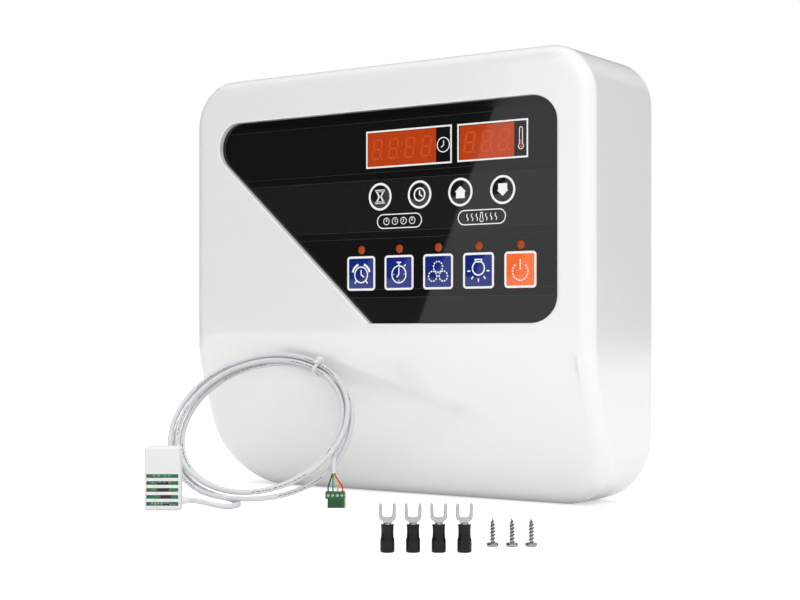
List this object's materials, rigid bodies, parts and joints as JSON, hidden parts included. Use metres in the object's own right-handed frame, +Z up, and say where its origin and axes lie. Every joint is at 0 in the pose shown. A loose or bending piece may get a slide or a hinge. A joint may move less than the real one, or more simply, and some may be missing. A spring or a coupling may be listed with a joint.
{
  "type": "sauna heater controller",
  "caption": "Wall-mounted digital control unit for a sauna heater, with press keys, time and temperature displays, coiled sensor lead, fork terminals and wall screws.",
  "frame": {"origin": "middle of the flat underside, where the case stands on a surface", "axes": "+X to the right along the width, +Y into the wall the unit hangs on, +Z up"},
  "size_m": [0.3156, 0.2526, 0.254],
  "materials": {
    "white_housing": "glossy white moulded plastic",
    "black_panel": "glossy black printed panel",
    "round_key_plastic": "black key with a white ring and symbol",
    "blue_key_plastic": "blue key with a white border and symbol",
    "orange_key_plastic": "orange key with a white border and symbol",
    "display_window": "orange display module",
    "orange_lamp": "orange lens",
    "black_plastic": "black moulded plastic",
    "grey_plastic": "grey moulded plastic",
    "white_plastic": "white moulded plastic",
    "green_plastic": "green moulded plastic",
    "blue_plastic": "blue relay case",
    "green_board": "green solder mask over glass-fibre board",
    "zinc_steel": "zinc-plated sheet and screws",
    "core_steel": "laminated transformer steel",
    "brass_parts": "turned brass",
    "copper_winding": "taped copper winding",
    "fuse_glass": "clear glass tube",
    "black_anodised": "black anodised aluminium",
    "cable_jacket": "satin white-grey cable jacket",
    "core_insulation": "coloured core insulation",
    "clear_tie": "translucent nylon",
    "rubber_black": "soft black rubber"
  },
  "bodies": {
    "cover": {"front_cover": "white_housing", "panel_lens": "black_panel", "time_display": "display_window", "temperature_display": "display_window", "indicator_leds": "orange_lamp", "key_switches": "grey_plastic", "switch_plungers": "black_plastic", "display_board": "green_board", "display_board_screws": "zinc_steel", "control_chip": "black_plastic", "buzzer": "black_plastic", "ribbon_cable": "cable_jacket", "ribbon_plugs": "grey_plastic", "sensor_base": "white_plastic", "sensor_cover": "white_plastic", "sensor_board": "green_board", "sensor_chip": "white_plastic", "sensor_bush": "cable_jacket", "lead_start": "cable_jacket", "lead_coil": "cable_jacket", "lead_end": "cable_jacket", "cable_tie": "clear_tie", "lead_cores": "core_insulation", "plug_body": "green_plastic", "plug_screws": "zinc_steel", "fork_terminals": "zinc_steel", "terminal_sleeves": "black_plastic", "wall_screws": "zinc_steel"},
    "back_plate": {"back_plate": "zinc_steel", "ribbon_header": "black_plastic", "power_board": "green_board", "board_standoffs": "brass_parts", "power_board_screws": "zinc_steel", "transformer_core": "core_steel", "transformer_winding": "copper_winding", "relays": "blue_plastic", "fuse_holder": "zinc_steel", "fuse": "fuse_glass", "capacitors": "black_plastic", "regulator": "black_plastic", "heatsink": "black_anodised", "sensor_socket": "green_plastic", "terminal_block": "grey_plastic", "terminal_screws": "zinc_steel", "mains_wires": "core_insulation", "cable_grommets": "rubber_black", "case_screws": "zinc_steel"},
    "hour_key": {"hour_key": "round_key_plastic"},
    "minute_key": {"minute_key": "round_key_plastic"},
    "up_key": {"up_key": "round_key_plastic"},
    "down_key": {"down_key": "round_key_plastic"},
    "preset_key": {"preset_key": "blue_key_plastic"},
    "timer_key": {"timer_key": "blue_key_plastic"},
    "ozone_key": {"ozone_key": "blue_key_plastic"},
    "lamp_key": {"lamp_key": "blue_key_plastic"},
    "power_key": {"power_key": "orange_key_plastic"}
  },
  "joints": [
    {"name": "back_plate_off", "type": "slide", "parent": "cover", "child": "back_plate", "axis": [0, 1, 0], "range_m": [0, 0.09]},
    {"name": "hour_key_press", "type": "slide", "parent": "cover", "child": "hour_key", "axis": [0, 1, 0], "range_m": [0, 0.0006], "stiffness_N_per_m": 200},
    {"name": "minute_key_press", "type": "slide", "parent": "cover", "child": "minute_key", "axis": [0, 1, 0], "range_m": [0, 0.0006], "stiffness_N_per_m": 200},
    {"name": "up_key_press", "type": "slide", "parent": "cover", "child": "up_key", "axis": [0, 1, 0], "range_m": [0, 0.0006], "stiffness_N_per_m": 200},
    {"name": "down_key_press", "type": "slide", "parent": "cover", "child": "down_key", "axis": [0, 1, 0], "range_m": [0, 0.0006], "stiffness_N_per_m": 200},
    {"name": "preset_key_press", "type": "slide", "parent": "cover", "child": "preset_key", "axis": [0, 1, 0], "range_m": [0, 0.0006], "stiffness_N_per_m": 200},
    {"name": "timer_key_press", "type": "slide", "parent": "cover", "child": "timer_key", "axis": [0, 1, 0], "range_m": [0, 0.0006], "stiffness_N_per_m": 200},
    {"name": "ozone_key_press", "type": "slide", "parent": "cover", "child": "ozone_key", "axis": [0, 1, 0], "range_m": [0, 0.0006], "stiffness_N_per_m": 200},
    {"name": "lamp_key_press", "type": "slide", "parent": "cover", "child": "lamp_key", "axis": [0, 1, 0], "range_m": [0, 0.0006], "stiffness_N_per_m": 200},
    {"name": "power_key_press", "type": "slide", "parent": "cover", "child": "power_key", "axis": [0, 1, 0], "range_m": [0, 0.0006], "stiffness_N_per_m": 200}
  ]
}
